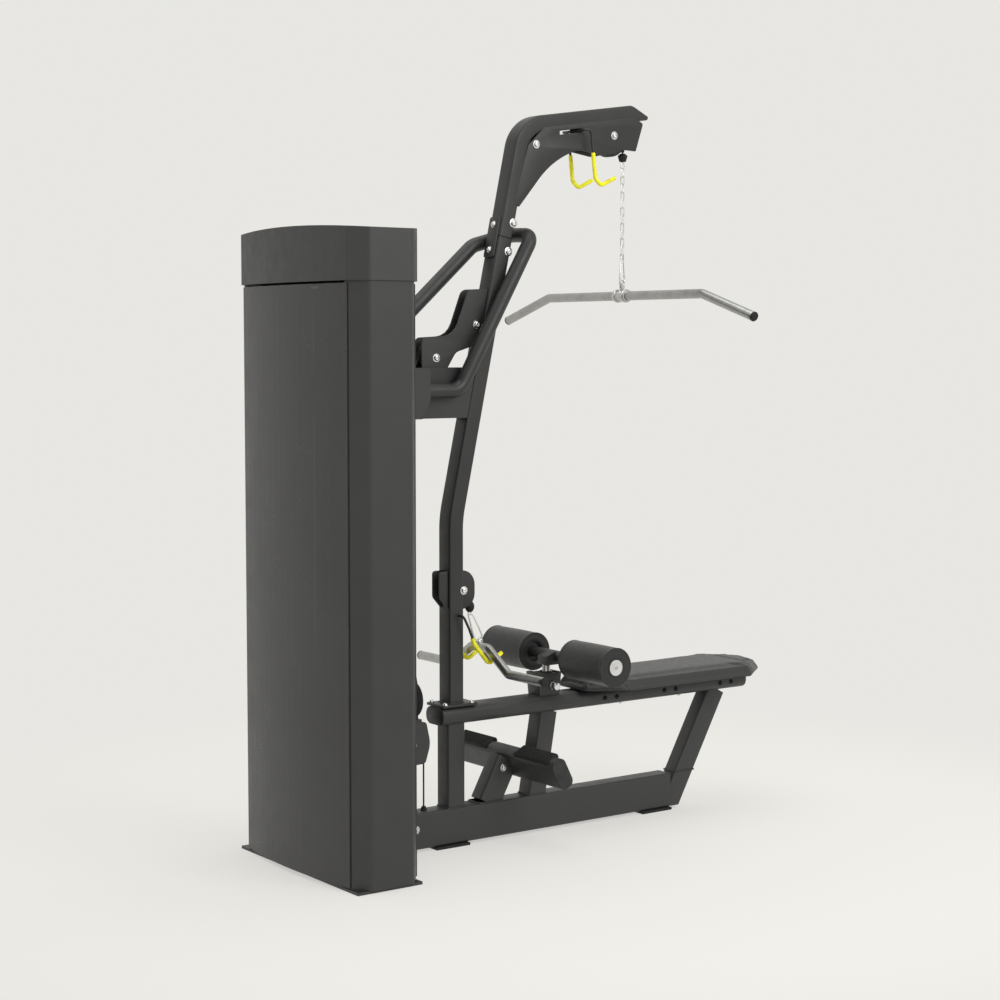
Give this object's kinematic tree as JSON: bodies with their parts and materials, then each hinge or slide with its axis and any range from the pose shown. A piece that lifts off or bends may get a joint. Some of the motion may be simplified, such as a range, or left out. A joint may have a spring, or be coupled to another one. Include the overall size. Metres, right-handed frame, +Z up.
{
  "type": "lat pulldown machine",
  "caption": "Floor-standing lat pulldown and low row machine with a shrouded weight tower, bench seat, thigh rollers, hanging pulldown bar and low row bar.",
  "frame": {"origin": "on the floor, on the machine's middle plane, level with the weight tower's rear seams", "axes": "+X from the weight tower to the bench end, +Y to the side of the far pillar, +Z up"},
  "size_m": [1.7401, 1.202, 2.2027],
  "materials": {
    "frame_paint": "satin dark grey powder coat",
    "shroud_paint": "satin grey powder coat",
    "smoked_panel": "smoked, glossy",
    "bright_steel": "polished",
    "iron": "painted cast iron",
    "nylon": "moulded nylon",
    "yellow_sleeve": "yellow dipped coating",
    "cable": "coated cable",
    "rubber": "matte",
    "upholstery": "black vinyl over foam"
  },
  "bodies": {
    "frame": {"tower_frame": "frame_paint", "pillar_near": "shroud_paint", "pillar_far": "shroud_paint", "rear_panel": "smoked_panel", "front_cover": "shroud_paint", "tower_cap": "shroud_paint", "guide_rod_near": "bright_steel", "guide_rod_far": "bright_steel", "stack_resting": "iron", "link_beam": "frame_paint", "upper_link_axle": "bright_steel", "lower_link_axle": "bright_steel", "loop_tube": "frame_paint", "upright": "frame_paint", "row_axle": "bright_steel", "boom": "frame_paint", "front_axle": "bright_steel", "corner_axle": "bright_steel", "upper_hooks": "yellow_sleeve", "lower_hooks": "yellow_sleeve", "lat_cable": "cable", "row_cable": "cable", "lower_frame": "frame_paint", "base_axle": "bright_steel", "rubber_foot_tower": "rubber", "rubber_foot_bench": "rubber", "foot_beam": "frame_paint", "seat_pad": "upholstery", "lat_run": "cable", "row_run": "cable", "lift_run": "cable", "float_loop": "cable", "row_loop": "cable"},
    "stack": {"stack_lifted": "iron", "selector_stem": "bright_steel"},
    "pin": {"selector_pin": "bright_steel"},
    "head_wheel": {"head_pulley": "nylon"},
    "upper_link_wheel": {"upper_link_pulley": "nylon"},
    "lower_link_wheel": {"lower_link_pulley": "nylon"},
    "turn_link_wheel": {"turn_link_pulley": "nylon"},
    "front_wheel": {"front_pulley": "nylon"},
    "corner_wheel": {"corner_pulley": "nylon"},
    "row_wheel": {"row_pulley": "nylon"},
    "base_wheel": {"base_pulley": "nylon"},
    "turn_base_wheel": {"turn_base_pulley": "nylon"},
    "lat_line": {"lat_cable_end": "rubber", "lat_chain": "bright_steel", "lat_carabiner": "bright_steel"},
    "lat_handle": {"lat_swivel": "bright_steel", "lat_bar": "bright_steel"},
    "row_line": {"row_cable_end": "rubber", "row_carabiner": "bright_steel"},
    "row_handle": {"row_bar": "bright_steel"},
    "block": {"float_block": "frame_paint"},
    "block_upper_wheel": {"float_upper_wheel": "nylon"},
    "block_lower_wheel": {"float_lower_wheel": "nylon"},
    "thigh_hold": {"thigh_post": "bright_steel"},
    "hold_pin": {"thigh_pin": "bright_steel"},
    "roller_near": {"thigh_roller_near": "upholstery"},
    "roller_far": {"thigh_roller_far": "upholstery"}
  },
  "joints": [
    {"name": "stack_lift", "type": "slide", "parent": "frame", "child": "stack", "axis": [0, 0, 1], "range_m": [0, 0.62], "deforming": ["lift_run"]},
    {"name": "lat_pull", "type": "slide", "parent": "frame", "child": "lat_line", "axis": [0, 0, -1], "range_m": [0, 0.62], "deforming": ["lat_run"]},
    {"name": "front_wheel_turn", "type": "hinge", "parent": "frame", "child": "front_wheel", "pos_m": [1.105, 0, 2.107], "axis": [0, 1, 0], "range_deg": [0, 624.72]},
    {"name": "corner_wheel_turn", "type": "hinge", "parent": "frame", "child": "corner_wheel", "pos_m": [0.809, 0, 2.064], "axis": [0, 1, 0], "range_deg": [0, 754.87]},
    {"name": "upper_link_wheel_turn", "type": "hinge", "parent": "frame", "child": "upper_link_wheel", "pos_m": [0.6, 0, 1.533], "axis": [0, 1, 0], "range_deg": [-805.2, 0]},
    {"name": "lower_link_wheel_turn", "type": "hinge", "parent": "frame", "child": "lower_link_wheel", "pos_m": [0.458, 0, 1.436], "axis": [0, 1, 0], "range_deg": [0, 805.2]},
    {"name": "turn_link_wheel_turn", "type": "hinge", "parent": "frame", "child": "turn_link_wheel", "pos_m": [0.405, 0, 1.315], "axis": [0, 1, 0], "range_deg": [0, 805.2]},
    {"name": "head_wheel_turn", "type": "hinge", "parent": "frame", "child": "head_wheel", "pos_m": [0.15, 0, 1.66], "axis": [0, 1, 0], "range_deg": [0, 805.2]},
    {"name": "row_pull", "type": "slide", "parent": "frame", "child": "row_line", "axis": [0.866, 0, 0.5], "range_m": [0, 0.26], "deforming": ["row_run"]},
    {"name": "block_drop", "type": "slide", "parent": "frame", "child": "block", "axis": [0, 0, -1], "range_m": [0, 0.13], "deforming": ["float_loop", "row_loop"]},
    {"name": "row_wheel_turn", "type": "hinge", "parent": "frame", "child": "row_wheel", "pos_m": [0.546, 0, 0.757], "axis": [0, 1, 0], "range_deg": [0, 361.78]},
    {"name": "turn_base_wheel_turn", "type": "hinge", "parent": "frame", "child": "turn_base_wheel", "pos_m": [0.474, 0, 0.051], "axis": [0, 1, 0], "range_deg": [-506.49, 0]},
    {"name": "base_wheel_turn", "type": "hinge", "parent": "frame", "child": "base_wheel", "pos_m": [0.375, 0, 0.069], "axis": [0, 1, 0], "range_deg": [-316.56, 0]},
    {"name": "block_lower_wheel_turn", "type": "hinge", "parent": "block", "child": "block_lower_wheel", "pos_m": [0.375, 0, 0.315], "axis": [0, 1, 0], "range_deg": [-158.28, 0]},
    {"name": "block_upper_wheel_turn", "type": "hinge", "parent": "block", "child": "block_upper_wheel", "pos_m": [0.3775, 0, 0.449], "axis": [1, 0, 0], "range_deg": [0, 754.87]},
    {"name": "selector_pin_pull", "type": "slide", "parent": "stack", "child": "pin", "axis": [1, 0, 0], "range_m": [0, 0.09]},
    {"name": "lat_bar_turn", "type": "hinge", "parent": "lat_line", "child": "lat_handle", "pos_m": [1.163, 0, 1.655], "axis": [0, 0, 1], "range_deg": [-75, 75]},
    {"name": "row_bar_swing", "type": "hinge", "parent": "row_line", "child": "row_handle", "pos_m": [0.626, 0, 0.59], "axis": [0, 1, 0], "range_deg": [-25, 25]},
    {"name": "hold_height", "type": "slide", "parent": "frame", "child": "thigh_hold", "axis": [0, 0, 1], "range_m": [0, 0.054]},
    {"name": "hold_pin_pull", "type": "slide", "parent": "frame", "child": "hold_pin", "axis": [0, -1, 0], "range_m": [0, 0.012], "stiffness_N_per_m": 800, "springref_m": -0.01},
    {"name": "roller_near_turn", "type": "hinge", "parent": "thigh_hold", "child": "roller_near", "pos_m": [0.901, 0, 0.53], "axis": [0, 1, 0], "continuous": true},
    {"name": "roller_far_turn", "type": "hinge", "parent": "thigh_hold", "child": "roller_far", "pos_m": [0.901, 0, 0.53], "axis": [0, 1, 0], "continuous": true}
  ],
  "couplings": [
    {"joint": "lat_pull", "follows": "stack_lift", "ratio": 1},
    {"joint": "front_wheel_turn", "follows": "stack_lift", "rad_per_m": 17.241},
    {"joint": "corner_wheel_turn", "follows": "stack_lift", "rad_per_m": 20.833},
    {"joint": "upper_link_wheel_turn", "follows": "stack_lift", "rad_per_m": -22.222},
    {"joint": "lower_link_wheel_turn", "follows": "stack_lift", "rad_per_m": 22.222},
    {"joint": "turn_link_wheel_turn", "follows": "stack_lift", "rad_per_m": 22.222},
    {"joint": "head_wheel_turn", "follows": "stack_lift", "rad_per_m": 22.222},
    {"joint": "block_drop", "follows": "row_pull", "ratio": 0.5},
    {"joint": "row_wheel_turn", "follows": "row_pull", "rad_per_m": 23.81},
    {"joint": "turn_base_wheel_turn", "follows": "row_pull", "rad_per_m": -33.333},
    {"joint": "base_wheel_turn", "follows": "row_pull", "rad_per_m": -20.833},
    {"joint": "block_lower_wheel_turn", "follows": "row_pull", "rad_per_m": -10.417},
    {"joint": "block_upper_wheel_turn", "follows": "stack_lift", "rad_per_m": 20.833}
  ]
}
